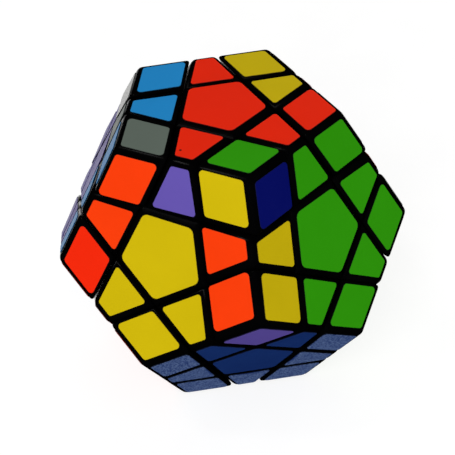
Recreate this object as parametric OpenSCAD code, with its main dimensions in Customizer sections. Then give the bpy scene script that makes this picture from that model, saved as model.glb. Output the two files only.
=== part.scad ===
// Twelve-sided twisty puzzle, one cut per face, with coloured stickers.
// The origin is the middle of the core. +Z is the axis of the top face and
// -Y is the side the lower front face looks to. The puzzle rests on the face
// opposite the top one. Three layers that share no piece turn on the core:
// the top one, the lower front one and the lower back one. The top layer has
// been left a little turned, as a hand leaves it.
//
// Every piece keeps inside the same cuts, one round each face axis. A cut is
// a plane near the surface, and a cone and a ball further in, so each layer
// can turn without its pieces meeting the others.

/* [Body] */
// height of each flat face above the middle of the core
face_height = 35; // [34:0.5:42]
// thickness of each turning layer, from its face to its cut
layer_thickness = 10.95; // [9:0.05:11.4]
// how far the top layer has been left turned, in degrees
top_turned = 2.2; // [0:0.1:4]
// width of the bevel round each outer face
bevel = 0.45; // [0.2:0.05:0.7]
// wall of the hollow edge and corner shells
wall = 1.5; // [1:0.1:2]

/* [Tracks] */
// clearance between neighbouring pieces
clearance = 0.3; // [0.2:0.05:0.4]
// how far inside the face height each plane cut turns into the cone of the necks
shoulder_depth = 0.99; // [0.6:0.01:1.5]
// half angle of the cone that bounds each layer's feet
foot_angle = 52; // [51:0.5:54]
// radius at which the feet hook under the necks
hook_radius = 26; // [25.5:0.1:26.5]
// inner radius of the feet
foot_radius = 20; // [19.8:0.1:20.5]

/* [Feet] */
// how far the point under each edge shell is cut back for its foot
edge_cutback = 2.23; // [1.8:0.01:2.7]
// how far the point under each corner shell is cut back for its foot
corner_cutback = 2.73; // [2.2:0.01:3.2]
// width of the slide on each edge's foot
slide_width = 4.2; // [3.6:0.1:4.4]
// length of the neck on each edge's foot, towards the centres
neck_length = 8; // [6:0.5:8]
// width of the neck on each edge's foot, towards the corners
neck_width = 10.4; // [9:0.2:10.6]
// radius of the neck on each corner's foot
button_neck = 3; // [2.5:0.1:3.1]
// radius of the peg on each foot
peg_radius = 1.8; // [1.5:0.1:2]
// length of the peg on each foot
peg_length = 3.5; // [3:0.5:4]
// play round each peg
peg_play = 0.05; // [0.02:0.01:0.1]

/* [Centres] */
// thickness of the cap over each centre
cap_thickness = 1.6; // [1.2:0.1:2]
// radius of the spring pocket in each centre
pocket_radius = 3.1; // [3:0.05:3.3]
// thickness of the floor under each spring
pocket_floor = 2; // [1.5:0.1:2.5]
// depth of the rim under each cap
cap_rim_depth = 1.4; // [1:0.1:1.8]
// thickness of the rim under each cap
cap_rim_wall = 0.7; // [0.5:0.1:1]
// play between a cap's rim and its pocket
rim_play = 0.05; // [0.02:0.01:0.1]

/* [Core and fasteners] */
// radius of the ball in the middle of the core
ball_radius = 8; // [7:0.5:9]
// radius of each arm of the core
arm_radius = 3.4; // [3:0.1:3.8]
// gap between the end of an arm and the stem that turns on it
arm_gap = 0.1; // [0.1:0.05:0.3]
// radius of each screw's shank
shank_radius = 1.35; // [1.2:0.05:1.4]
// play round each shank where it passes through a centre
shank_play = 0.2; // [0.15:0.05:0.3]
// distance of each screw's tip from the middle of the core
tip_height = 9.5; // [9:0.5:12]
// radius of each screw head
head_radius = 2.5; // [2.2:0.1:2.6]
// thickness of each screw head
head_thickness = 1.5; // [1.2:0.1:1.8]
// length of the slots of the cross in each screw head
cross_length = 3.25; // [2.8:0.05:3.6]
// width of the slots of the cross in each screw head
cross_width = 0.6; // [0.5:0.05:0.7]
// depth of the cross in each screw head
cross_depth = 0.9; // [0.6:0.1:1]
// outer radius of each washer
washer_radius = 2.8; // [2.7:0.05:2.9]
// thickness of each washer
washer_thickness = 0.5; // [0.4:0.1:0.6]
// play between a washer and its shank
washer_play = 0.1; // [0.05:0.05:0.2]
// wire radius of each spring
wire_radius = 0.32; // [0.25:0.01:0.35]
// mean radius of each spring's coil
coil_radius = 2.25; // [2.1:0.05:2.4]
// length of each spring as fitted
spring_length = 6; // [5.5:0.1:6.5]
// number of turns in each spring
spring_turns = 4; // [3:1:5]
// gap at each end of a spring
spring_gap = 0.03; // [0.02:0.01:0.05]

/* [Stickers] */
// thickness of the stickers
sticker_thickness = 0.2; // [0.1:0.05:0.3]
// distance from a cut to the stickers beside it
sticker_inset = 1.1; // [0.9:0.05:1.5]
// distance from an outer edge to the stickers beside it
sticker_margin = 1.3; // [1:0.05:1.6]
// radius of the corners of the edge and corner stickers
sticker_round = 1; // [0.5:0.1:1.2]
// radius of the corners of the centre stickers
centre_round = 1.6; // [0.8:0.1:2.5]

/* [Hidden] */
$fn = 48;
face_tilt = acos(1 / sqrt(5)); // angle between neighbouring face axes
edge_tilt = face_tilt / 2; // angle from a face axis to an edge of it
corner_tilt = acos(sqrt((5 + 2 * sqrt(5)) / 15)); // and to a corner of it
end_tilt = 90 - edge_tilt; // angle from an edge to the faces at its ends
cut_height = face_height - layer_thickness;
neck_angle = acos(cut_height / (face_height - shoulder_depth)); // half angle of that cone
neck_spread = end_tilt - neck_angle; // what the cones leave of each piece
foot_spread = foot_angle - edge_tilt;
button_spread = foot_angle - corner_tilt;
flare_spread = face_tilt - neck_angle;
stem_spread = face_tilt - foot_angle;
half_gap = clearance / 2;
edge_seam = cut_height / cos(edge_tilt) + edge_cutback; // height of the seam under an edge shell
corner_seam = cut_height / cos(corner_tilt) + corner_cutback; // and under a corner shell
button_height = (hook_radius - clearance) * cos(button_spread);
overshoot = 1; // how far a cut or a root runs past the surface it starts from
slide_reach = hook_radius * sin(foot_spread) + overshoot;
slide_middle = (foot_radius + hook_radius) / 2;
reach = 2 * face_height; // well outside the puzzle
arm_height = sqrt(pow(foot_radius - arm_gap, 2) - pow(arm_radius, 2));
arm_root = arm_radius / sin(edge_tilt) + arm_gap; // where the arms part from each other
stem_height = arm_height + arm_gap;
stem_radius = cone(stem_height, stem_spread);
flare_height = hook_radius;
flare_top = (face_height - shoulder_depth) * cos(flare_spread) + half_gap;
floor_height = foot_radius + pocket_floor;
washer_height = floor_height + spring_length + 2 * spring_gap;
head_height = washer_height + washer_thickness;
cap_height = face_height - cap_thickness;
cut_reach = (cut_height - face_height * cos(face_tilt)) / sin(face_tilt);
edge_reach = face_height * tan(edge_tilt);
shell_colour = [0.02, 0.02, 0.022];
foot_colour = [0.05, 0.05, 0.055];
steel_colour = [0.7, 0.7, 0.72];
wire_sides = 4;
wire_steps = 11; // straight lengths in one turn of a spring

function ring(middle, tilt) = [for (k = [0:4])
    [cos(middle + 72 * k) * sin(tilt), sin(middle + 72 * k) * sin(tilt), cos(tilt)]];

// Axes of the twelve faces: top, upper ring, lower ring and bottom.
AXES = concat([[0, 0, 1]], ring(-126, face_tilt), ring(-90, 180 - face_tilt), [[0, 0, -1]]);
TOP = 0;
FRONT = 6;
BACK = 8;
TURNING = [TOP, FRONT, BACK];

function beside(i, j) = AXES[i] * AXES[j] > 0.4 && i != j;
function turns(faces, layers = TURNING) =
    len([for (i = faces) for (t = layers) if (i == t) i]) > 0;
function with(list, t) = [for (p = list) if (len([for (i = p) if (i == t) i]) > 0) p];
function still(list) = [for (p = list) if (!turns(p)) p];

EDGES = [for (i = [0:11]) for (j = [0:11]) if (i < j && beside(i, j)) [i, j]];
CORNERS = [for (e = EDGES) for (k = [0:11])
    if (k > e[1] && beside(e[0], k) && beside(e[1], k)) [e[0], e[1], k]];
STILL_FACES = [for (i = [0:11]) if (!turns([i])) i];

function unit(v) = v / norm(v);
function columns(x, y, z) = [
    [x[0], y[0], z[0], 0],
    [x[1], y[1], z[1], 0],
    [x[2], y[2], z[2], 0],
    [0, 0, 0, 1]];
// Frame whose +Z is z and whose +X leans towards a.
function aimed(z, a) = let (x = unit(a - z * (a * z))) columns(x, cross(z, x), z);
function around(tilt, turn) = [sin(tilt) * cos(turn), sin(tilt) * sin(turn), cos(tilt)];
// Radius at a height of a cone from the middle of the core, less half the clearance.
function cone(height, spread) = height * tan(spread) - half_gap / cos(spread);

// Each of these puts a piece in its place among the faces it shows.
module in_layer(faces) {
    rotate([0, 0, turns(faces, [TOP]) ? top_turned : 0]) children();
}

module at_face(i) {
    j = [for (k = [0:11]) if (beside(i, k)) k][0];
    in_layer([i]) multmatrix(aimed(AXES[i], AXES[j])) children();
}

module at_edge(e) {
    in_layer(e) multmatrix(aimed(unit(AXES[e[0]] + AXES[e[1]]), AXES[e[0]])) children();
}

module at_corner(c) {
    in_layer(c)
        multmatrix(aimed(unit(AXES[c[0]] + AXES[c[1]] + AXES[c[2]]), AXES[c[0]])) children();
}

// Turns +Z to the given tilt and turn.
module leaning(tilt, turn) {
    rotate([0, tilt, turn]) children();
}

// What lies beyond distance c along n.
module beyond(n, c) {
    multmatrix(aimed(unit(n), abs(unit(n)[0]) > 0.9 ? [0, 1, 0] : [1, 0, 0]))
        translate([-reach, -reach, c]) cube([2 * reach, 2 * reach, reach]);
}

// Plane band between two heights of a face.
module band(low, high) {
    translate([-reach, -reach, low]) cube([2 * reach, 2 * reach, high - low]);
}

// Bevel where faces at heights a and b meet, their outward axes m and n.
module bevel_cut(m, a, n, b) {
    beyond(m + n, (a + b) / norm(m + n) - bevel);
}

// Plane sides of an edge shell, all drawn in by w.
module edge_block(w) {
    low = cut_height + half_gap + w;
    intersection() {
        leaning(edge_tilt, 0) band(low, face_height - w);
        leaning(edge_tilt, 180) band(low, face_height - w);
        leaning(end_tilt, 90) band(-reach, cut_height - half_gap - w);
        leaning(end_tilt, -90) band(-reach, cut_height - half_gap - w);
        leaning(90 + neck_spread, 90) band(-reach, -half_gap - w);
        leaning(90 + neck_spread, -90) band(-reach, -half_gap - w);
        band(edge_seam + w, reach);
    }
}

module edge_shell() {
    ends = [around(end_tilt, 90), around(end_tilt, -90)];
    sides = [around(edge_tilt, 0), around(edge_tilt, 180)];
    color(shell_colour) difference() {
        edge_block(0);
        edge_block(wall);
        peg_hole(edge_seam);
        bevel_cut(sides[0], face_height, sides[1], face_height);
        for (k = [0, 1]) {
            bevel_cut(sides[k], face_height, -sides[1 - k], -cut_height - half_gap);
            for (n = ends) bevel_cut(sides[k], face_height, n, cut_height - half_gap);
        }
    }
}

// Foot of an edge: the slide under the two centres, the neck over the feet of
// the corners, and the peg.
module edge_foot() {
    color(foot_colour) {
        difference() {
            intersection() {
                translate([-slide_reach, -slide_width / 2, 0])
                    cube([2 * slide_reach, slide_width, reach]);
                sphere(r = hook_radius - half_gap);
            }
            sphere(r = foot_radius);
            for (turn = [0, 180]) leaning(90 + foot_spread, turn) band(-half_gap, reach);
        }
        difference() {
            translate([-neck_length / 2, -neck_width / 2, 0])
                cube([neck_length, neck_width, edge_seam]);
            sphere(r = hook_radius + half_gap);
        }
        translate([-neck_length / 2, -slide_width / 2, slide_middle])
            cube([neck_length, slide_width, edge_seam - slide_middle]);
        peg(edge_seam);
    }
}

// Plane sides of a corner shell, all drawn in by w.
module corner_block(w) {
    intersection() {
        intersection_for (k = [0:2])
            leaning(corner_tilt, 120 * k) band(cut_height + half_gap + w, face_height - w);
        band(corner_seam + w, reach);
    }
}

module corner_shell() {
    faces = [for (k = [0:2]) around(corner_tilt, 120 * k)];
    color(shell_colour) difference() {
        corner_block(0);
        corner_block(wall);
        peg_hole(corner_seam);
        for (k = [0:2]) {
            next = (k + 1) % 3;
            bevel_cut(faces[k], face_height, faces[next], face_height);
            bevel_cut(faces[k], face_height, -faces[next], -cut_height - half_gap);
            bevel_cut(faces[next], face_height, -faces[k], -cut_height - half_gap);
        }
    }
}

// Foot of a corner: a turned button under the necks of the edges, and the peg.
module corner_foot() {
    color(foot_colour) {
        rotate_extrude() polygon([
            [0, foot_radius],
            [cone(foot_radius, button_spread), foot_radius],
            [cone(button_height, button_spread), button_height],
            [button_neck, button_height],
            [button_neck, corner_seam],
            [0, corner_seam]]);
        peg(corner_seam);
    }
}

module peg(seam) {
    translate([0, 0, seam - overshoot]) cylinder(r = peg_radius, h = peg_length + overshoot);
}

module peg_hole(seam) {
    translate([0, 0, seam - overshoot])
        cylinder(r = peg_radius + peg_play, h = wall + 2 * overshoot);
}

// Plane sides of a centre between two heights.
module centre_block(low, high) {
    intersection() {
        band(low, high);
        intersection_for (k = [0:4])
            leaning(face_tilt, 72 * k) band(-reach, cut_height - half_gap);
    }
}

// Cup of a centre: a stem that turns on the core's arm, a flare over the
// slides of the edges, and a pocket for the spring.
module centre_cup() {
    color(shell_colour) difference() {
        union() {
            centre_block(flare_top, cap_height);
            rotate_extrude() polygon([
                [0, stem_height],
                [stem_radius, stem_height],
                [stem_radius, flare_height],
                [cone(flare_height, flare_spread), flare_height],
                [cone(flare_top, flare_spread), flare_top],
                [0, flare_top]]);
        }
        translate([0, 0, floor_height]) cylinder(r = pocket_radius, h = reach);
        cylinder(r = shank_radius + shank_play, h = reach);
    }
}

module centre_cap() {
    color(shell_colour) difference() {
        union() {
            difference() {
                centre_block(cap_height, face_height);
                for (k = [0:4])
                    bevel_cut([0, 0, 1], face_height, around(face_tilt, 72 * k),
                        cut_height - half_gap);
            }
            translate([0, 0, cap_height - cap_rim_depth])
                cylinder(r = pocket_radius - rim_play, h = cap_rim_depth + cap_thickness / 2);
        }
        translate([0, 0, cap_height - cap_rim_depth - overshoot])
            cylinder(r = pocket_radius - rim_play - cap_rim_wall, h = cap_rim_depth + overshoot);
    }
}

module screw() {
    color(steel_colour) difference() {
        union() {
            translate([0, 0, tip_height])
                cylinder(r = shank_radius, h = head_height - tip_height + head_thickness / 2);
            translate([0, 0, head_height]) cylinder(r = head_radius, h = head_thickness);
        }
        for (turn = [0, 90])
            rotate([0, 0, turn])
                translate([0, 0, head_height + head_thickness - cross_depth + reach / 2])
                    cube([cross_length, cross_width, reach], center = true);
    }
}

module washer() {
    color(steel_colour) translate([0, 0, washer_height]) difference() {
        cylinder(r = washer_radius, h = washer_thickness);
        translate([0, 0, -overshoot])
            cylinder(r = shank_radius + washer_play, h = washer_thickness + 2 * overshoot);
    }
}

module coil_spring() {
    steps = spring_turns * wire_steps;
    rise = spring_length - 2 * wire_radius;
    points = [for (i = [0:steps]) for (j = [0:wire_sides - 1]) let (
            turn = 360 * i / wire_steps,
            r = coil_radius + wire_radius * cos(360 * j / wire_sides))
        [r * cos(turn), r * sin(turn),
            wire_radius + rise * i / steps + wire_radius * sin(360 * j / wire_sides)]];
    sides = [for (i = [0:steps - 1]) for (j = [0:wire_sides - 1]) let (
            a = i * wire_sides + j,
            b = i * wire_sides + (j + 1) % wire_sides)
        each [[a, b, b + wire_sides], [a, b + wire_sides, a + wire_sides]]];
    first = [for (j = [0:wire_sides - 1]) wire_sides - 1 - j];
    last = [for (j = [0:wire_sides - 1]) steps * wire_sides + j];
    color(steel_colour) translate([0, 0, floor_height + spring_gap])
        polyhedron(points, concat([first], sides, [last]));
}

function rounded(p, r) = [for (i = [0:len(p) - 1]) let (
        n = len(p),
        a = unit(p[(i + n - 1) % n] - p[i]),
        b = unit(p[(i + 1) % n] - p[i]),
        half = acos(a * b) / 2,
        middle = p[i] + unit(a + b) * r / sin(half),
        from = p[i] + a * r / tan(half),
        to = p[i] + b * r / tan(half),
        bulge = middle + unit(p[i] - middle) * r)
    each [from, bulge, to]];

module sticker(outline, r) {
    translate([0, 0, face_height])
        linear_extrude(sticker_thickness) polygon(rounded(outline, r));
}

module centre_sticker() {
    r = (cut_reach - sticker_inset) / cos(36);
    sticker([for (k = [0:4]) [r * cos(36 + 72 * k), r * sin(36 + 72 * k)]], centre_round);
}

module edge_sticker() {
    inner = cut_reach + sticker_inset;
    outer = edge_reach - sticker_margin;
    side = cut_reach - sticker_inset;
    wide = (side - inner * cos(72)) / sin(72);
    narrow = (side - outer * cos(72)) / sin(72);
    sticker([[-inner, -wide], [-inner, wide], [-outer, narrow], [-outer, -narrow]],
        sticker_round);
}

module corner_sticker() {
    inner = cut_reach + sticker_inset;
    outer = edge_reach - sticker_margin;
    across = (outer + inner) / 2 / cos(36);
    half = (outer - inner) / 2 / sin(36);
    sticker([[-inner / cos(36), 0], [-across, half], [-outer / cos(36), 0], [-across, -half]],
        sticker_round);
}

module stickers(faces, edges, corners, colour) {
    color(colour) {
        for (i = faces) at_face(i) centre_sticker();
        for (e = edges) at_edge(e)
            for (turn = [0, 180]) leaning(edge_tilt, turn) edge_sticker();
        for (c = corners) at_corner(c)
            for (turn = [0, 120, 240]) leaning(corner_tilt, turn) corner_sticker();
    }
}

// The ball with its twelve arms, each with a pilot hole for a screw.
module core() {
    color(foot_colour) difference() {
        union() {
            sphere(r = ball_radius);
            for (i = [0:11]) at_face(i)
                translate([0, 0, arm_root]) cylinder(r = arm_radius, h = arm_height - arm_root);
        }
        for (i = [0:11]) at_face(i)
            translate([0, 0, tip_height]) cylinder(r = shank_radius, h = reach);
    }
}

module core_screws() { for (i = [0:11]) at_face(i) screw(); }
module core_washers() { for (i = [0:11]) at_face(i) washer(); }
module core_springs() { for (i = [0:11]) at_face(i) coil_spring(); }

// The nine centres, fifteen edges and five corners that stay with the core.
module still_centres() { for (i = STILL_FACES) at_face(i) centre_cup(); }
module still_caps() { for (i = STILL_FACES) at_face(i) centre_cap(); }
module still_edges() { for (e = still(EDGES)) at_edge(e) edge_shell(); }
module still_edge_feet() { for (e = still(EDGES)) at_edge(e) edge_foot(); }
module still_corner(k) { at_corner(still(CORNERS)[k]) corner_shell(); }
module still_corner_1() { still_corner(0); }
module still_corner_2() { still_corner(1); }
module still_corner_3() { still_corner(2); }
module still_corner_4() { still_corner(3); }
module still_corner_5() { still_corner(4); }
module still_corner_feet() { for (c = still(CORNERS)) at_corner(c) corner_foot(); }
module still_stickers() {
    stickers(STILL_FACES, still(EDGES), still(CORNERS), [0.9, 0.3, 0.05]);
}

// Pieces of one turning layer.
module layer_edge(t, k) { at_edge(with(EDGES, t)[k]) edge_shell(); }
module layer_corner(t, k) { at_corner(with(CORNERS, t)[k]) corner_shell(); }
module layer_edge_feet(t) { for (e = with(EDGES, t)) at_edge(e) edge_foot(); }
module layer_corner_feet(t) { for (c = with(CORNERS, t)) at_corner(c) corner_foot(); }
module layer_stickers(t, colour) {
    stickers([t], with(EDGES, t), with(CORNERS, t), colour);
}

module top_centre() { at_face(TOP) centre_cup(); }
module top_cap() { at_face(TOP) centre_cap(); }
module top_edge_1() { layer_edge(TOP, 0); }
module top_edge_2() { layer_edge(TOP, 1); }
module top_edge_3() { layer_edge(TOP, 2); }
module top_edge_4() { layer_edge(TOP, 3); }
module top_edge_5() { layer_edge(TOP, 4); }
module top_edge_feet() { layer_edge_feet(TOP); }
module top_corner_1() { layer_corner(TOP, 0); }
module top_corner_2() { layer_corner(TOP, 1); }
module top_corner_3() { layer_corner(TOP, 2); }
module top_corner_4() { layer_corner(TOP, 3); }
module top_corner_5() { layer_corner(TOP, 4); }
module top_corner_feet() { layer_corner_feet(TOP); }
module top_stickers() { layer_stickers(TOP, [0.8, 0.03, 0.01]); }

module front_centre() { at_face(FRONT) centre_cup(); }
module front_cap() { at_face(FRONT) centre_cap(); }
module front_edge_1() { layer_edge(FRONT, 0); }
module front_edge_2() { layer_edge(FRONT, 1); }
module front_edge_3() { layer_edge(FRONT, 2); }
module front_edge_4() { layer_edge(FRONT, 3); }
module front_edge_5() { layer_edge(FRONT, 4); }
module front_edge_feet() { layer_edge_feet(FRONT); }
module front_corner_1() { layer_corner(FRONT, 0); }
module front_corner_2() { layer_corner(FRONT, 1); }
module front_corner_3() { layer_corner(FRONT, 2); }
module front_corner_4() { layer_corner(FRONT, 3); }
module front_corner_5() { layer_corner(FRONT, 4); }
module front_corner_feet() { layer_corner_feet(FRONT); }
module front_stickers() { layer_stickers(FRONT, [0.01, 0.02, 0.2]); }

module back_centre() { at_face(BACK) centre_cup(); }
module back_cap() { at_face(BACK) centre_cap(); }
module back_edge_1() { layer_edge(BACK, 0); }
module back_edge_2() { layer_edge(BACK, 1); }
module back_edge_3() { layer_edge(BACK, 2); }
module back_edge_4() { layer_edge(BACK, 3); }
module back_edge_5() { layer_edge(BACK, 4); }
module back_edge_feet() { layer_edge_feet(BACK); }
module back_corner_1() { layer_corner(BACK, 0); }
module back_corner_2() { layer_corner(BACK, 1); }
module back_corner_3() { layer_corner(BACK, 2); }
module back_corner_4() { layer_corner(BACK, 3); }
module back_corner_5() { layer_corner(BACK, 4); }
module back_corner_feet() { layer_corner_feet(BACK); }
module back_stickers() { layer_stickers(BACK, [0.5, 0.4, 0.02]); }

core();
core_screws();
core_washers();
core_springs();
still_centres();
still_caps();
still_edges();
still_edge_feet();
still_corner_1();
still_corner_2();
still_corner_3();
still_corner_4();
still_corner_5();
still_corner_feet();
still_stickers();
top_centre();
top_cap();
top_edge_1();
top_edge_2();
top_edge_3();
top_edge_4();
top_edge_5();
top_edge_feet();
top_corner_1();
top_corner_2();
top_corner_3();
top_corner_4();
top_corner_5();
top_corner_feet();
top_stickers();
front_centre();
front_cap();
front_edge_1();
front_edge_2();
front_edge_3();
front_edge_4();
front_edge_5();
front_edge_feet();
front_corner_1();
front_corner_2();
front_corner_3();
front_corner_4();
front_corner_5();
front_corner_feet();
front_stickers();
back_centre();
back_cap();
back_edge_1();
back_edge_2();
back_edge_3();
back_edge_4();
back_edge_5();
back_edge_feet();
back_corner_1();
back_corner_2();
back_corner_3();
back_corner_4();
back_corner_5();
back_corner_feet();
back_stickers();
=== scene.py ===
import math
import random

import bmesh
import bpy
from mathutils import Matrix, Quaternion, Vector


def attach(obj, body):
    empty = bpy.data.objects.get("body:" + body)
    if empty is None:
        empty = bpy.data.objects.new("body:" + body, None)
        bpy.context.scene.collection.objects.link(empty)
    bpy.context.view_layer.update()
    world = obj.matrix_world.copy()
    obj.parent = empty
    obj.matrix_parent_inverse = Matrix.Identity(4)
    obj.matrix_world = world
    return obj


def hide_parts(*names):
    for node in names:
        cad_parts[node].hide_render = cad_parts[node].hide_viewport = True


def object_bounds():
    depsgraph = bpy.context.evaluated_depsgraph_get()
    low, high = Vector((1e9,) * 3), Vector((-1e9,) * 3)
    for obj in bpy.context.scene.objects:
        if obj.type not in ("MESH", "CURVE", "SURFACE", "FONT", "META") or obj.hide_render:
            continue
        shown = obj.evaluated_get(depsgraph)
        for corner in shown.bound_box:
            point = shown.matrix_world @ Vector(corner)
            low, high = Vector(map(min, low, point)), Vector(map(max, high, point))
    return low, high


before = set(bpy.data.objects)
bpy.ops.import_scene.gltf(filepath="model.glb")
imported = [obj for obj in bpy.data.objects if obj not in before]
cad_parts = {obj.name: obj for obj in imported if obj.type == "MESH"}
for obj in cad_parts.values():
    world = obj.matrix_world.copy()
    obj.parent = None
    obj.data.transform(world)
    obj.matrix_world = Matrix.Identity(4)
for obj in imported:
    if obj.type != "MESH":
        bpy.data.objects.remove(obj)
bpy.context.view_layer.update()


# ---- Core -------------------------------------------------------------------
# The moulded core: a ball with twelve arms, one for each face, in tough dark
# plastic. Everything else is screwed to its arms or hooked round them.
MM = 0.001
CORE_BODY = "core_and_fixed_pieces"
INNER_GREY = (0.03, 0.03, 0.033)
INNER_WORN = (0.05, 0.05, 0.053)


def new_material(name):
    made = bpy.data.materials.new(name)
    made.use_nodes = True
    return made, made.node_tree.nodes, made.node_tree.links


def noise(nodes, links, scale, detail=4.0, roughness=0.55):
    """Cloudy noise that stays with the piece; the scale is in spots a metre."""
    where = nodes.new("ShaderNodeTexCoord")
    made = nodes.new("ShaderNodeTexNoise")
    made.inputs["Scale"].default_value = scale
    made.inputs["Detail"].default_value = detail
    made.inputs["Roughness"].default_value = roughness
    links.new(where.outputs["Object"], made.inputs["Vector"])
    return made.outputs["Fac"]


def between(nodes, links, value, low, high, start=0.3, end=0.7):
    """Low while a value is under start, high once it is over end."""
    made = nodes.new("ShaderNodeMapRange")
    made.inputs["From Min"].default_value = start
    made.inputs["From Max"].default_value = end
    made.inputs["To Min"].default_value = low
    made.inputs["To Max"].default_value = high
    links.new(value, made.inputs["Value"])
    return made.outputs["Result"]


def blend_colour(nodes, links, factor, first, second):
    """Mixes two finishes; each is a colour or the output of another node."""
    made = nodes.new("ShaderNodeMix")
    made.data_type = "RGBA"
    for side, finish in (("A", first), ("B", second)):
        if isinstance(finish, tuple):
            made.inputs[side].default_value = (*finish, 1)
        else:
            links.new(finish, made.inputs[side])
    links.new(factor, made.inputs["Factor"])
    return made.outputs["Result"]


def bumps(nodes, links, height, strength, distance):
    made = nodes.new("ShaderNodeBump")
    made.inputs["Strength"].default_value = strength
    made.inputs["Distance"].default_value = distance
    links.new(height, made.inputs["Height"])
    return made.outputs["Normal"]


def moulded_plastic(name, colour, worn, roughness, specular):
    """Moulded plastic: faint clouds of wear over a fine mould grain."""
    made, nodes, links = new_material(name)
    shader = nodes["Principled BSDF"]
    shader.inputs["Specular IOR Level"].default_value = specular
    clouds = noise(nodes, links, 90.0)
    grain = noise(nodes, links, 2600.0, detail=2.0)
    tone = between(nodes, links, clouds, 0.0, 1.0)
    links.new(blend_colour(nodes, links, tone, colour, worn), shader.inputs["Base Color"])
    matt = between(nodes, links, clouds, roughness - 0.06, roughness + 0.08)
    links.new(matt, shader.inputs["Roughness"])
    links.new(bumps(nodes, links, grain, 0.12, 0.04 * MM), shader.inputs["Normal"])
    return made


def finish_cad(node, material, edge_width):
    """Gives a piece its material and takes the sharpness off its edges."""
    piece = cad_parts[node]
    piece.data.materials.clear()
    piece.data.materials.append(material)
    weld = piece.modifiers.new("weld", "WELD")
    weld.merge_threshold = 0.002 * MM
    edge = piece.modifiers.new("edge", "BEVEL")
    edge.width = edge_width
    edge.segments = 2
    edge.limit_method = "ANGLE"
    edge.angle_limit = math.radians(35)
    edge.harden_normals = False


inner_plastic = moulded_plastic("inner_plastic", INNER_GREY, INNER_WORN, roughness=0.42, specular=0.5)
finish_cad("core", inner_plastic, 0.15 * MM)


# ---- Screws and washers -----------------------------------------------------
# A zinc-plated pan-head screw, with a recess for the driver, is driven into
# each of the twelve arms over a thin washer. It holds the centre on its arm.
FACES = (
    "top",
    "left",
    "right",
    "east",
    "north",
    "west",
    "front",
    "low_east",
    "low_north_east",
    "low_north_west",
    "low_west",
    "bottom",
)
TILT = math.acos(1 / math.sqrt(5))
AXES = {"top": Vector((0, 0, 1)), "bottom": Vector((0, 0, -1))}
for k in range(5):
    upper = math.radians(-126 + 72 * k)
    lower = math.radians(-90 + 72 * k)
    AXES[FACES[1 + k]] = Vector(
        (math.sin(TILT) * math.cos(upper), math.sin(TILT) * math.sin(upper), math.cos(TILT))
    )
    AXES[FACES[6 + k]] = Vector(
        (math.sin(TILT) * math.cos(lower), math.sin(TILT) * math.sin(lower), -math.cos(TILT))
    )

SHANK = 1.35 * MM
TIP = 9.5 * MM
THREAD_TOP = 19.4 * MM
PITCH = 0.9 * MM
ROOT = SHANK - 0.3 * MM
HEAD_FOOT = 28.56 * MM
HEAD_TOP = 30.06 * MM
SCREW_SIDES = 24

steel, nodes, links = new_material("zinc_steel")
shader = nodes["Principled BSDF"]
shader.inputs["Metallic"].default_value = 1.0
streaks = noise(nodes, links, 900.0, detail=3.0)
tone = between(nodes, links, streaks, 0.0, 1.0)
zinc = blend_colour(nodes, links, tone, (0.5, 0.5, 0.52), (0.68, 0.68, 0.69))
links.new(zinc, shader.inputs["Base Color"])
links.new(between(nodes, links, streaks, 0.22, 0.4), shader.inputs["Roughness"])
links.new(bumps(nodes, links, streaks, 0.1, 0.03 * MM), shader.inputs["Normal"])


def beside(a, b):
    """Whether two faces share an edge of the puzzle."""
    return a != b and AXES[a].dot(AXES[b]) > 0.4


def frame_on(face):
    """A frame whose Z leaves the core through the middle of a face."""
    up = AXES[face]
    lean = AXES[next(f for f in FACES if beside(face, f))]
    x = (lean - up * lean.dot(up)).normalized()
    return Matrix((x, up.cross(x), up)).transposed().to_4x4()


def as_object(name, bm, material, body, nodes_stood_for):
    mesh = bpy.data.meshes.new(name)
    bm.to_mesh(mesh)
    bm.free()
    mesh.materials.append(material)
    piece = bpy.data.objects.new(name, mesh)
    bpy.context.scene.collection.objects.link(piece)
    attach(piece, body)
    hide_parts(*nodes_stood_for)


def turn_round(bm, outline, place, sides):
    """Turns an outline of (radius, height) points round +Z and places it."""
    rings = []
    for radius, height in outline:
        ring = []
        for s in range(sides if radius else 1):
            turn = 2 * math.pi * s / sides
            spot = Vector((radius * math.cos(turn), radius * math.sin(turn), height))
            ring.append(bm.verts.new(place @ spot))
        rings.append(ring)
    for a, b in zip(rings, rings[1:]):
        for s in range(sides):
            t = (s + 1) % sides
            if len(a) == 1:
                face = bm.faces.new((a[0], b[t], b[s]))
            elif len(b) == 1:
                face = bm.faces.new((a[s], a[t], b[0]))
            else:
                face = bm.faces.new((a[s], a[t], b[t], b[s]))
            face.smooth = True


def screw_outline():
    outline = [(0, TIP), (0.5 * MM, TIP + 0.2 * MM)]
    height = TIP + 1.2 * MM
    while height < THREAD_TOP:
        outline.append((ROOT, height))
        outline.append((SHANK, height + 0.35 * MM))
        outline.append((ROOT, height + 0.7 * MM))
        height += PITCH
    outline.append((SHANK, THREAD_TOP + 0.8 * MM))
    outline.append((SHANK, HEAD_FOOT))
    pan_head = [
        (2.45 * MM, HEAD_FOOT),
        (2.5 * MM, HEAD_FOOT + 0.3 * MM),
        (2.4 * MM, HEAD_FOOT + 0.8 * MM),
        (2.0 * MM, HEAD_TOP - 0.3 * MM),
        (1.5 * MM, HEAD_TOP - 0.06 * MM),
        (1.2 * MM, HEAD_TOP),
    ]
    recess = [(0.9 * MM, HEAD_TOP - 0.5 * MM), (0, HEAD_TOP - 0.9 * MM)]
    return outline + pan_head + recess


screws = bmesh.new()
for face in FACES:
    turn_round(screws, screw_outline(), frame_on(face), SCREW_SIDES)
as_object("core_screws_threaded", screws, steel, CORE_BODY, ["core_screws"])
finish_cad("core_washers", steel, 0.06 * MM)


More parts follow.
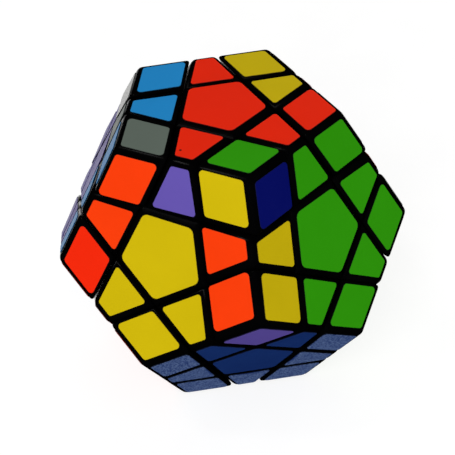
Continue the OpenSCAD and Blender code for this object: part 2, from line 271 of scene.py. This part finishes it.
# ---- Springs ----------------------------------------------------------------
# A small coil spring of steel wire stands round each screw, under the washer.
# It presses the centre down on its arm.
WIRE = 0.32 * MM
WIRE_SIDES = 8
COIL = 2.25 * MM
COIL_TURNS = 4
STEPS_A_TURN = 26
SPRING_FOOT = 22.03 * MM
SPRING_RISE = 6 * MM - 2 * WIRE


def wind_spring(bm, place):
    """One coil of round wire, wound upwards from the foot of the spring."""
    steps = COIL_TURNS * STEPS_A_TURN
    last = None
    for i in range(steps + 1):
        turn = 2 * math.pi * i / STEPS_A_TURN
        ring = []
        for j in range(WIRE_SIDES):
            around = 2 * math.pi * j / WIRE_SIDES
            reach = COIL + WIRE * math.cos(around)
            up = SPRING_FOOT + WIRE + SPRING_RISE * i / steps + WIRE * math.sin(around)
            spot = Vector((reach * math.cos(turn), reach * math.sin(turn), up))
            ring.append(bm.verts.new(place @ spot))
        if last:
            for j in range(WIRE_SIDES):
                k = (j + 1) % WIRE_SIDES
                strip = bm.faces.new((last[j], last[k], ring[k], ring[j]))
                strip.smooth = True
        else:
            bm.faces.new(ring)
        last = ring
    bm.faces.new(list(reversed(last)))


springs = bmesh.new()
for face in FACES:
    wind_spring(springs, frame_on(face))
bmesh.ops.recalc_face_normals(springs, faces=springs.faces)
as_object("core_springs_coiled", springs, steel, CORE_BODY, ["core_springs"])


# ---- Centre cups and feet ---------------------------------------------------
# The cups turn on the core's arms and flare over the slides of the edges. The
# feet of the edges and corners are moulded apart and pushed into their shells.
BLACK = (0.0004, 0.0004, 0.0005)
BLACK_WORN = (0.0012, 0.0012, 0.0014)
FOOT_EDGE = 0.2 * MM
CENTRE_NODES = ("still_centres", "top_centre", "front_centre", "back_centre")

black_plastic = moulded_plastic("black_plastic", BLACK, BLACK_WORN, roughness=0.25, specular=0.07)
for node in CENTRE_NODES:
    finish_cad(node, black_plastic, FOOT_EDGE)
    group = node.split("_")[0]
    finish_cad(group + "_edge_feet", inner_plastic, FOOT_EDGE)
    finish_cad(group + "_corner_feet", inner_plastic, FOOT_EDGE)


# ---- Caps, edge shells and corner shells ------------------------------------
# Black moulded shells with flat outer faces and softly rounded rims. A cap is
# pressed into its cup and the others clip on their feet, a thin gap apart.
FACE = 35 * MM
CUT = 24.05 * MM
GAP = 0.15 * MM
ROUND = 1.1 * MM
CAP_FOOT = 33.4 * MM
SHOULDER_DEPTH = 0.99 * MM
EDGE_CUTBACK = 2.23 * MM
CORNER_CUTBACK = 2.73 * MM
CORNER_TILT = math.acos(math.sqrt((5 + 2 * math.sqrt(5)) / 15))
EDGE_SEAM = CUT / math.cos(TILT / 2) + EDGE_CUTBACK
CORNER_SEAM = CUT / math.cos(CORNER_TILT) + CORNER_CUTBACK
NECK = math.pi / 2 - TILT / 2 - math.acos(CUT / (FACE - SHOULDER_DEPTH))
RAW_BLOCK = 200 * MM
TOUCH = 0.001 * MM
FLAT_AREA = 6 * MM * MM
TURNING = {"top": "top", "front": "front", "low_north_east": "back"}
TOP_TURNED = Matrix.Rotation(math.radians(2.2), 4, "Z")

# A piece is named by the faces it shows: one, two or three of them.
EDGES = [(a, b) for i, a in enumerate(FACES) for b in FACES[i + 1 :] if beside(a, b)]
CORNERS = []
for a, b in EDGES:
    for c in FACES[FACES.index(b) + 1 :]:
        if beside(a, c) and beside(b, c):
            CORNERS.append((a, b, c))
STILL_CORNERS = [c for c in CORNERS if not any(f in TURNING for f in c)]


def body_of(faces):
    for face in faces:
        if face in TURNING:
            return TURNING[face] + "_layer"
    return CORE_BODY


def node_of(faces, kind, members, still_node):
    """The node of an edge or corner: numbered in its own turning layer, or a still one."""
    for face in TURNING:
        if face in faces:
            mates = [m for m in members if face in m]
            return TURNING[face] + "_" + kind + "_" + str(mates.index(faces) + 1)
    return still_node


def left_turned(faces):
    """The top layer was left a little turned; the others stand square."""
    return TOP_TURNED if "top" in faces else Matrix.Identity(4)


def outward(faces):
    return sum((AXES[f] for f in faces), Vector()).normalized()


def solid_between(planes, rims):
    """The solid inside some planes, rounded where it meets the outer face of each rim."""
    bm = bmesh.new()
    bmesh.ops.create_cube(bm, size=RAW_BLOCK)
    for normal, distance in planes:
        cut = bmesh.ops.bisect_plane(
            bm,
            geom=bm.verts[:] + bm.edges[:] + bm.faces[:],
            dist=1e-7,
            plane_co=normal * distance,
            plane_no=normal,
            clear_outer=True,
        )
        loop = [g for g in cut["geom_cut"] if isinstance(g, bmesh.types.BMEdge)]
        bmesh.ops.edgeloop_fill(bm, edges=loop)
    bmesh.ops.recalc_face_normals(bm, faces=bm.faces)
    outer = []
    for edge in bm.edges:
        if any(all(abs(v.co.dot(axis) - FACE) < TOUCH for v in edge.verts) for axis in rims):
            outer.append(edge)
    bmesh.ops.bevel(
        bm, geom=outer, offset=ROUND, offset_type="OFFSET", segments=4, profile=0.5, affect="EDGES"
    )
    return bm


def shell(name, faces, planes, node):
    bm = solid_between(planes, [AXES[f] for f in faces])
    bm.transform(left_turned(faces))
    for face in bm.faces:
        face.smooth = face.calc_area() <= FLAT_AREA
    as_object(name, bm, black_plastic, body_of(faces), [node])


for face in FACES:
    planes = [(AXES[face], FACE), (-AXES[face], -CAP_FOOT)]
    planes += [(AXES[f], CUT - GAP) for f in FACES if beside(face, f)]
    node = TURNING[face] + "_cap" if face in TURNING else "still_caps"
    shell("cap_" + face, (face,), planes, node)

for pair in EDGES:
    up = outward(pair)
    planes = [(AXES[f], FACE) for f in pair]
    planes += [(-AXES[f], -(CUT + GAP)) for f in pair]
    # Each side of an edge shell is cut at a neighbour's layer, then leans in towards the core.
    for end in FACES:
        if beside(end, pair[0]) and beside(end, pair[1]):
            planes.append((AXES[end], CUT - GAP))
            side = (AXES[end] - up * AXES[end].dot(up)).normalized()
            planes.append((side * math.cos(NECK) - up * math.sin(NECK), -GAP))
    planes.append((-up, -EDGE_SEAM))
    shell("edge_" + "_".join(pair), pair, planes, node_of(pair, "edge", EDGES, "still_edges"))

for three in CORNERS:
    planes = [(AXES[f], FACE) for f in three]
    planes += [(-AXES[f], -(CUT + GAP)) for f in three]
    planes.append((-outward(three), -CORNER_SEAM))
    still_node = ""
    if three in STILL_CORNERS:
        still_node = "still_corner_" + str(STILL_CORNERS.index(three) + 1)
    shell("corner_" + "_".join(three), three, planes, node_of(three, "corner", CORNERS, still_node))


# ---- Stickers ---------------------------------------------------------------
# Thin vinyl stickers with small rounded corners, laid by hand, so each sits a
# little off square. Colours are scrambled round the top and solved lower down.
COLOURS = {
    "red": (0.86, 0.019, 0.001),
    "orange": (0.9, 0.044, 0.001),
    "yellow": (0.59, 0.445, 0.001),
    "green": (0.028, 0.325, 0.001),
    "blue": (0.0005, 0.003, 0.125),
    "sky": (0.014, 0.25, 0.6),
    "purple": (0.12, 0.082, 0.39),
    "grey": (0.12, 0.15, 0.125),
    "white": (0.7, 0.7, 0.68),
    "pink": (0.75, 0.13, 0.25),
    "lime": (0.22, 0.55, 0.03),
    "cream": (0.65, 0.52, 0.25),
}
HOME = {
    "top": "red",
    "left": "yellow",
    "right": "green",
    "east": "white",
    "north": "pink",
    "west": "purple",
    "front": "blue",
    "low_east": "lime",
    "low_north_east": "cream",
    "low_north_west": "sky",
    "low_west": "orange",
    "bottom": "grey",
}
# The colour that a face shows on a piece which is away from home.
MOVED = {
    ("top", ("top", "left", "right")): "green",
    ("top", ("top", "left", "west")): "grey",
    ("top", ("top", "north", "west")): "sky",
    ("top", ("top", "east", "north")): "yellow",
    ("top", ("top", "west")): "sky",
    ("top", ("top", "east")): "yellow",
    ("left", ("top", "left", "west")): "orange",
    ("left", ("left", "right", "front")): "orange",
    ("left", ("left", "west", "low_west")): "red",
    ("left", ("top", "left")): "purple",
    ("left", ("left", "right")): "orange",
    ("left", ("left", "west")): "orange",
    ("right", ("top", "left", "right")): "blue",
    ("right", ("left", "right", "front")): "yellow",
    ("right", ("left", "right")): "yellow",
    ("front", ("left", "right", "front")): "purple",
    ("west", ("top", "left", "west")): "sky",
    ("west", ("left", "west")): "sky",
    ("west", ("left", "west", "low_west")): "sky",
    ("north", ("top", "north", "west")): "red",
    ("west", ("top", "north", "west")): "white",
    ("north", ("top", "east", "north")): "white",
    ("east", ("top", "east", "north")): "cream",
    ("west", ("top", "west")): "grey",
    ("east", ("top", "east")): "pink",
    ("east", ("right", "east")): "orange",
    ("north", ("north", "low_north_west")): "lime",
    ("low_north_west", ("north", "low_north_west")): "pink",
}
STICKER_NODES = {
    CORE_BODY: "still_stickers",
    "top_layer": "top_stickers",
    "front_layer": "front_stickers",
    "back_layer": "back_stickers",
}
THICK = 0.2 * MM
INSET = 1.1 * MM
MARGIN = 1.3 * MM
# The radius of a sticker's corners on a cap, on an edge and on a corner piece.
CORNER_RADIUS = {1: 1.6 * MM, 2: 0.65 * MM, 3: 0.9 * MM}
ARC_STEPS = 6
CUT_REACH = (CUT - FACE * math.cos(TILT)) / math.sin(TILT)
FACE_REACH = FACE * math.tan(TILT / 2)
# Rings of a sticker's rim: mm inward, share of the thickness, share of the painted shade.
RIM = ((0, 0, 1), (0, 0.75, 1), (0.04, 0.93, 0.5), (0.1, 1.0, 0.1), (0.2, 1.0, 0))
MOST_TWIST = 0.7
MOST_SLIDE = 0.12

# Near black: the black shell seen through a nick, and the painted shade laid along each sticker's cut
# rim.
SHELL_BLACK_AND_RIM_SHADE = (0.006, 0.006, 0.007)
CHALK = (0.16, 0.24, 0.46)
# A lighter, hazier navy for the front face: partly dust, partly painted reflection.
DUST_AND_HAZE = (0.009, 0.037, 0.185)
DUST_AND_HAZE_DEEP = (0.006, 0.029, 0.16)
FRONT_MIDDLE = AXES["front"] * FACE
FRONT_BROW = FRONT_MIDDLE + Vector((0, -5.5, 11)) * MM
NICK = Vector((-11.6, -14.1, 35.2)) * MM


def away_from(nodes, links, spot, near, far):
    """0 within near of a spot on the puzzle, rising to 1 at far."""
    where = nodes.new("ShaderNodeTexCoord")
    gap = nodes.new("ShaderNodeVectorMath")
    gap.operation = "DISTANCE"
    gap.inputs[1].default_value = spot
    links.new(where.outputs["Object"], gap.inputs[0])
    return between(nodes, links, gap.outputs["Value"], 0.0, 1.0, near, far)


def both(nodes, links, first, second):
    made = nodes.new("ShaderNodeMath")
    made.operation = "MULTIPLY"
    links.new(first, made.inputs[0])
    links.new(second, made.inputs[1])
    return made.outputs["Value"]


def hazed_and_dusted(nodes, links, tone, clean):
    """The front face is painted a lighter, hazier blue: partly a bloom of dust from rubbing on
    tables, partly a painted reflection, with chalky specks at its foot.
    """
    # Painted reflection and dust: the whole front face takes this hazier blue in place of its navy.
    haze_and_dust_tone = blend_colour(nodes, links, tone, DUST_AND_HAZE, DUST_AND_HAZE_DEEP)
    fine = noise(nodes, links, 2300.0, detail=2.0, roughness=0.7)
    specks = between(nodes, links, fine, 0.05, 0.95, start=0.44, end=0.6)
    under_brow = away_from(nodes, links, FRONT_BROW, 13.5 * MM, 15 * MM)
    past_centre = away_from(nodes, links, FRONT_MIDDLE, 10.6 * MM, 11.4 * MM)
    rubbed = both(nodes, links, under_brow, past_centre)
    chalky = blend_colour(nodes, links, both(nodes, links, specks, rubbed), haze_and_dust_tone, CHALK)
    off_front = away_from(nodes, links, FRONT_MIDDLE, 28 * MM, 33 * MM)
    return blend_colour(nodes, links, off_front, chalky, clean)


def nicked(nodes, links, clean):
    """A nick that shows the black shell through one sticker."""
    off_nick = away_from(nodes, links, NICK, 0.2 * MM, 0.36 * MM)
    return blend_colour(nodes, links, off_nick, SHELL_BLACK_AND_RIM_SHADE, clean)


def vinyl(name, colour):
    """Coloured vinyl, smeared by handling, with painted shade, near black, along its cut rim."""
    made, nodes, links = new_material("vinyl_" + name)
    shader = nodes["Principled BSDF"]
    shader.inputs["Specular IOR Level"].default_value = 0.12
    smears = noise(nodes, links, 55.0, detail=6.0, roughness=0.62)
    clouds = noise(nodes, links, 260.0, detail=5.0)
    grain = noise(nodes, links, 1900.0, detail=3.0)
    dull = tuple(c * 0.93 for c in colour)
    handled = tuple(c * 0.97 + 0.001 for c in colour)
    tone = between(nodes, links, smears, 0.0, 1.0)
    face = blend_colour(nodes, links, tone, dull, colour)
    spots = between(nodes, links, clouds, 0.0, 0.6, start=0.55, end=0.75)
    face = blend_colour(nodes, links, spots, face, handled)
    # The front face's blue gets its painted reflection haze and its dust.
    if name == "blue":
        face = hazed_and_dusted(nodes, links, tone, face)
    if name == "red":
        face = nicked(nodes, links, face)
    # Painted shade: the side of each sticker's rim is darkened almost to black, so it shows no lit
    # edge.
    rim = nodes.new("ShaderNodeAttribute")
    rim.attribute_name = "rim"
    painted_rim_shade = both(nodes, links, rim.outputs["Fac"], between(nodes, links, clouds, 0.75, 1.0))
    links.new(blend_colour(nodes, links, painted_rim_shade, face, SHELL_BLACK_AND_RIM_SHADE), shader.inputs["Base Color"])
    links.new(between(nodes, links, smears, 0.36, 0.5), shader.inputs["Roughness"])
    links.new(bumps(nodes, links, grain, 0.12, 0.03 * MM), shader.inputs["Normal"])
    return made


def sticker_sides(face, faces):
    """The straight sides of a sticker in its face, each held as its direction and its reach."""
    to_face = frame_on(face).inverted().to_3x3()
    sides = []
    for near in FACES:
        if not beside(face, near):
            continue
        flat = to_face @ AXES[near]
        way = Vector((flat.x, flat.y)).normalized()
        if near in faces:
            sides.append((way, FACE_REACH - MARGIN))
            sides.append((-way, -(CUT_REACH + INSET)))
        elif all(beside(near, f) for f in faces):
            sides.append((way, CUT_REACH - INSET))
    sides.sort(key=lambda side: math.atan2(side[0].y, side[0].x))
    return sides


def cross_of(a, b):
    """The point where two sides meet."""
    (u, p), (v, q) = a, b
    under = u.x * v.y - u.y * v.x
    return Vector(((p * v.y - q * u.y) / under, (q * u.x - p * v.x) / under))


def soft_outline(sides, radius):
    """The outline inside some sides, with an arc in place of each sharp corner."""
    points = [cross_of(sides[i - 1], sides[i]) for i in range(len(sides))]
    made = []
    for i, here in enumerate(points):
        before = (points[i - 1] - here).normalized()
        after = (points[(i + 1) % len(points)] - here).normalized()
        half = before.angle(after) / 2
        middle = here + (before + after).normalized() * radius / math.sin(half)
        start = here + before * radius / math.tan(half) - middle
        finish = here + after * radius / math.tan(half) - middle
        sweep = start.angle_signed(finish)
        for s in range(ARC_STEPS + 1):
            turned = start.copy()
            turned.rotate(Matrix.Rotation(-sweep * s / ARC_STEPS, 2))
            made.append(middle + turned)
    return made


def hand_slip(face, faces):
    """How far across and up its face the hand that laid a sticker slipped, in mm."""
    if face == "left" and "right" in faces:
        return -0.3, 0.8
    if face == "left" and "west" in faces:
        return (-0.5, -0.6) if "top" in faces else (0.1, -0.3)
    if face == "top" and "right" in faces:
        return 0.5, 0.0
    if face == "top" and "west" in faces and "north" not in faces:
        return -0.5, -0.9
    if faces == ("top",):
        return 0.0, 0.7
    return 0.0, 0.0


def slip_in_face(face, faces):
    """The same slip in the frame of the face."""
    up = AXES[face]
    across = Vector((0, 0, 1)).cross(up)
    across = Vector((1, 0, 0)) if across.length < 0.1 else across.normalized()
    aside, higher = hand_slip(face, faces)
    slip = (across * aside + up.cross(across) * higher) * MM
    slip = frame_on(face).inverted().to_3x3() @ slip
    return Vector((slip.x, slip.y))


def lay_sticker(sheet, outline, twist, slide, place):
    """Adds one sticker to a sheet, as a flat plate with a softly rolled rim."""
    rim = sheet.verts.layers.float["rim"]
    middle = sum(outline, Vector((0, 0))) / len(outline)
    rings = []
    for inward, height, painted_rim_shade in RIM:
        ring = []
        for point in outline:
            arm = point - middle
            arm = arm * (1 - inward * MM / arm.length)
            flat = twist @ arm + middle + slide
            spot = place @ Vector((flat.x, flat.y, FACE + THICK * height))
            ring.append(sheet.verts.new(spot))
            # Each ring's share of the painted shade on the rim.
            ring[-1][rim] = painted_rim_shade
        rings.append(ring)
    for a, b in zip(rings, rings[1:]):
        for s in range(len(outline)):
            t = (s + 1) % len(outline)
            strip = sheet.faces.new((a[s], a[t], b[t], b[s]))
            strip.smooth = True
    sheet.faces.new(rings[-1])
    sheet.faces.new(list(reversed(rings[0])))


VINYL = {name: vinyl(name, colour) for name, colour in COLOURS.items()}
dice = random.Random(12)
sheets = {}
for faces in [(f,) for f in FACES] + EDGES + CORNERS:
    for face in faces:
        colour = MOVED.get((face, faces), HOME[face])
        key = (body_of(faces), colour)
        if key not in sheets:
            sheets[key] = bmesh.new()
            sheets[key].verts.layers.float.new("rim")
        outline = soft_outline(sticker_sides(face, faces), CORNER_RADIUS[len(faces)])
        twist = Matrix.Rotation(math.radians(dice.uniform(-MOST_TWIST, MOST_TWIST)), 2)
        aside = dice.uniform(-MOST_SLIDE, MOST_SLIDE)
        higher = dice.uniform(-MOST_SLIDE, MOST_SLIDE)
        slide = Vector((aside, higher)) * MM + slip_in_face(face, faces)
        lay_sticker(sheets[key], outline, twist, slide, left_turned(faces) @ frame_on(face))

for (body, colour), sheet in sheets.items():
    bmesh.ops.recalc_face_normals(sheet, faces=sheet.faces)
    group = STICKER_NODES[body].split("_")[0]
    name = "stickers_" + group + "_" + colour
    as_object(name, sheet, VINYL[colour], body, [STICKER_NODES[body]])


# ---- Floor ------------------------------------------------------------------
# A wide pale sheet that the puzzle stands on. It glows a little by itself, so
# that it stays pale all round, and it throws no light back on the puzzle.
FLOOR_SIZE = 3.0
FLOOR_GAP = 0.02 * MM
FLOOR_GLOW = 0.77

pale, nodes, links = new_material("pale_floor")
shader = nodes["Principled BSDF"]
shader.inputs["Roughness"].default_value = 0.8
shader.inputs["Specular IOR Level"].default_value = 0.1
weave = between(nodes, links, noise(nodes, links, 30.0, detail=5.0), 0.0, 1.0)
sheeting = blend_colour(nodes, links, weave, (0.3, 0.3, 0.299), (0.33, 0.33, 0.329))
links.new(sheeting, shader.inputs["Base Color"])
shader.inputs["Emission Color"].default_value = (1, 1, 1, 1)
shader.inputs["Emission Strength"].default_value = FLOOR_GLOW

floor_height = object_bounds()[0].z
floor_grid = bmesh.new()
bmesh.ops.create_grid(floor_grid, x_segments=8, y_segments=8, size=FLOOR_SIZE)
for vert in floor_grid.verts:
    vert.co.z = floor_height - FLOOR_GAP
floor_mesh = bpy.data.meshes.new("floor")
floor_grid.to_mesh(floor_mesh)
floor_grid.free()
floor_mesh.materials.append(pale)
floor = bpy.data.objects.new("floor", floor_mesh)
bpy.context.scene.collection.objects.link(floor)
floor.visible_diffuse = False
floor.visible_glossy = False
floor.visible_shadow = False


# ---- Camera -----------------------------------------------------------------
# It looks down on the front ridge from a little to the left, close enough for
# the sides of the puzzle to run together, and it is held slightly tilted.
AIM = Vector((0.05, -0.51, -0.60)) * MM
AROUND = math.radians(8.6)
ABOVE = math.radians(41.13)
CAMERA_REACH = 274.7 * MM
LENS = 88.35
ROLL = math.radians(-2.16)

scene = bpy.context.scene
scene.view_settings.view_transform = "Standard"
scene.view_settings.look = "None"
camera_data = bpy.data.cameras.new("camera")
camera_data.sensor_width = 36
camera_data.lens = LENS
camera_data.clip_start = 0.01
camera_data.clip_end = 20
camera = bpy.data.objects.new("camera", camera_data)
scene.collection.objects.link(camera)
back = Vector(
    (-math.sin(AROUND) * math.cos(ABOVE), -math.cos(AROUND) * math.cos(ABOVE), math.sin(ABOVE))
)
camera.location = AIM + back * CAMERA_REACH
camera.rotation_mode = "QUATERNION"
camera.rotation_quaternion = (-back).to_track_quat("-Z", "Y") @ Quaternion((0, 0, 1), ROLL)
scene.camera = camera


# ---- Lights -----------------------------------------------------------------
# A broad key light stands behind the camera, with a weak fill in front of the
# puzzle and one behind it. A small strip and a low card pick out the ridges.
ROOM_GLOW = 0.3


def soft_light(name, where, size, power, seen_in_gloss=True, lights_colours=True):
    """A round soft light that faces the middle of the puzzle."""
    data = bpy.data.lights.new(name, "AREA")
    data.shape = "DISK"
    data.size = size
    data.energy = power
    lamp = bpy.data.objects.new(name, data)
    scene.collection.objects.link(lamp)
    lamp.location = where
    lamp.rotation_mode = "QUATERNION"
    lamp.rotation_quaternion = (-Vector(where)).to_track_quat("-Z", "Y")
    lamp.visible_glossy = seen_in_gloss
    lamp.visible_diffuse = lights_colours


soft_light("key_light", (-0.33, -0.98, 0.75), 1.1, 13.4, seen_in_gloss=False)
soft_light("front_fill", (0.0, -1.2, -0.02), 0.9, 1.7, seen_in_gloss=False)
soft_light("back_fill", (0.5, 1.1, 0.45), 0.9, 3.6, seen_in_gloss=False)
soft_light("high_strip", (-0.54, -0.02, 1.05), 0.16, 1.0)
soft_light("low_card", (-0.24, 1.02, -0.59), 0.9, 2.4, lights_colours=False)

room = bpy.data.worlds.new("room")
scene.world = room
room.use_nodes = True
room.node_tree.nodes["Background"].inputs["Color"].default_value = (1, 1, 1, 1)
room.node_tree.nodes["Background"].inputs["Strength"].default_value = ROOM_GLOW
room.cycles_visibility.glossy = False
